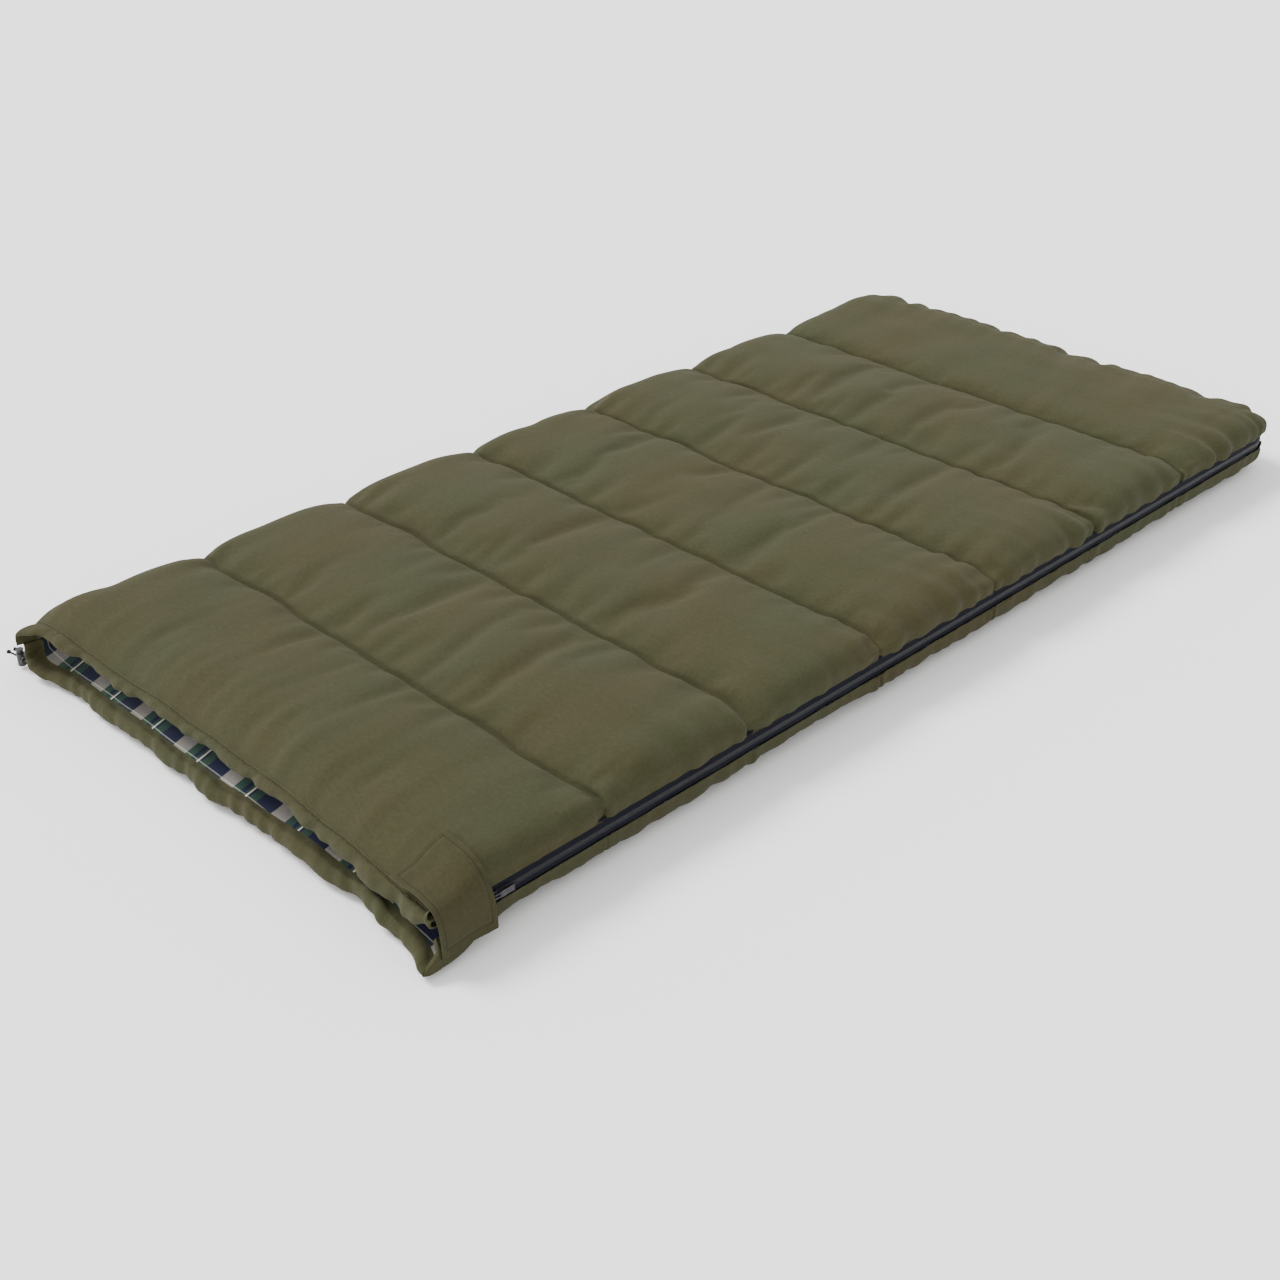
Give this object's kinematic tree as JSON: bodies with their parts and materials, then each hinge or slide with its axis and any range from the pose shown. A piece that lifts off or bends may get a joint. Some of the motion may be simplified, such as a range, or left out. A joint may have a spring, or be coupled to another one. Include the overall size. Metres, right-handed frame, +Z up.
{
  "type": "rectangular sleeping bag",
  "caption": "Rectangular quilted sleeping bag with plaid lining, a side and foot zip, drawcord mouth and closure tab; the cover opens flat.",
  "frame": {"origin": "centre of the footprint, on the ground that the bag lies on", "axes": "+Y from the mouth to the foot, +X towards the zip side, +Z up through the loft"},
  "size_m": [1.0123, 2.03, 0.124],
  "materials": {
    "shell_canvas": "matte",
    "plaid_flannel": "matte",
    "fill": "matte",
    "cord": "matte",
    "zip_tape": "matte",
    "zip_coil": "satin",
    "hook_and_loop": "matte",
    "zip_metal": "satin",
    "black_plastic": "satin"
  },
  "bodies": {
    "lower_quilt": {"lower_shell": "shell_canvas", "lower_outer_batting": "fill", "lower_inner_batting": "fill", "lower_lining": "plaid_flannel", "lower_hem_band": "shell_canvas", "lower_drawcord": "cord", "lower_zipper_coil": "zip_coil", "lower_zipper_tape": "zip_tape", "lower_top_stop": "zip_metal", "zipper_retainer_box": "black_plastic", "tab_loop_patch": "hook_and_loop", "drawcord_eyelet": "zip_metal", "drawcord_tail_front": "cord", "drawcord_tail_rear": "cord", "tail_knot_front": "cord", "tail_knot_rear": "cord"},
    "upper_quilt": {"upper_shell": "shell_canvas", "upper_outer_batting": "fill", "upper_inner_batting": "fill", "upper_lining": "plaid_flannel", "upper_hem_band": "shell_canvas", "upper_drawcord": "cord", "upper_zipper_coil": "zip_coil", "upper_zipper_tape": "zip_tape", "upper_top_stop": "zip_metal", "zipper_insertion_pin": "black_plastic", "draft_tube_cover": "plaid_flannel", "draft_tube_fill": "fill"},
    "closure_tab": {"closure_tab": "shell_canvas", "tab_hook_patch": "hook_and_loop"},
    "head_slider": {"head_slider_body": "zip_metal"},
    "head_pull": {"head_slider_pull": "zip_metal"},
    "foot_slider": {"foot_slider_body": "zip_metal"},
    "foot_pull": {"foot_slider_pull": "zip_metal"},
    "cord_lock": {"cord_lock_barrel": "black_plastic", "cord_lock_spring": "zip_metal"},
    "cord_lock_plunger": {"cord_lock_plunger": "black_plastic"}
  },
  "joints": [
    {"name": "cover_open", "type": "hinge", "parent": "lower_quilt", "child": "upper_quilt", "pos_m": [-0.485, 0, 0.062], "axis": [0, -1, 0], "range_deg": [0, 179.9]},
    {"name": "tab_lift", "type": "hinge", "parent": "upper_quilt", "child": "closure_tab", "pos_m": [0.39, -0.958, 0.1223], "axis": [0, -1, 0], "range_deg": [0, 150]},
    {"name": "head_slider_run", "type": "slide", "parent": "lower_quilt", "child": "head_slider", "axis": [0, 1, 0], "range_m": [0, 1.8]},
    {"name": "head_pull_swing", "type": "hinge", "parent": "head_slider", "child": "head_pull", "pos_m": [0.4765, -0.9122, 0.062], "axis": [0, 0, -1], "range_deg": [0, 90]},
    {"name": "foot_slider_run", "type": "slide", "parent": "lower_quilt", "child": "foot_slider", "axis": [1, 0, 0], "range_m": [0, 0.77]},
    {"name": "foot_pull_swing", "type": "hinge", "parent": "foot_slider", "child": "foot_pull", "pos_m": [-0.3812, 1.0105, 0.062], "axis": [0, 0, 1], "range_deg": [0, 90]},
    {"name": "cord_lock_run", "type": "slide", "parent": "lower_quilt", "child": "cord_lock", "axis": [-1, 0, 0], "range_m": [0, 0.005]},
    {"name": "cord_lock_press", "type": "slide", "parent": "cord_lock", "child": "cord_lock_plunger", "axis": [0, 0, -1], "range_m": [0, 0.004], "stiffness_N_per_m": 200, "springref_m": -0.002, "deforming": ["cord_lock_spring"]}
  ]
}
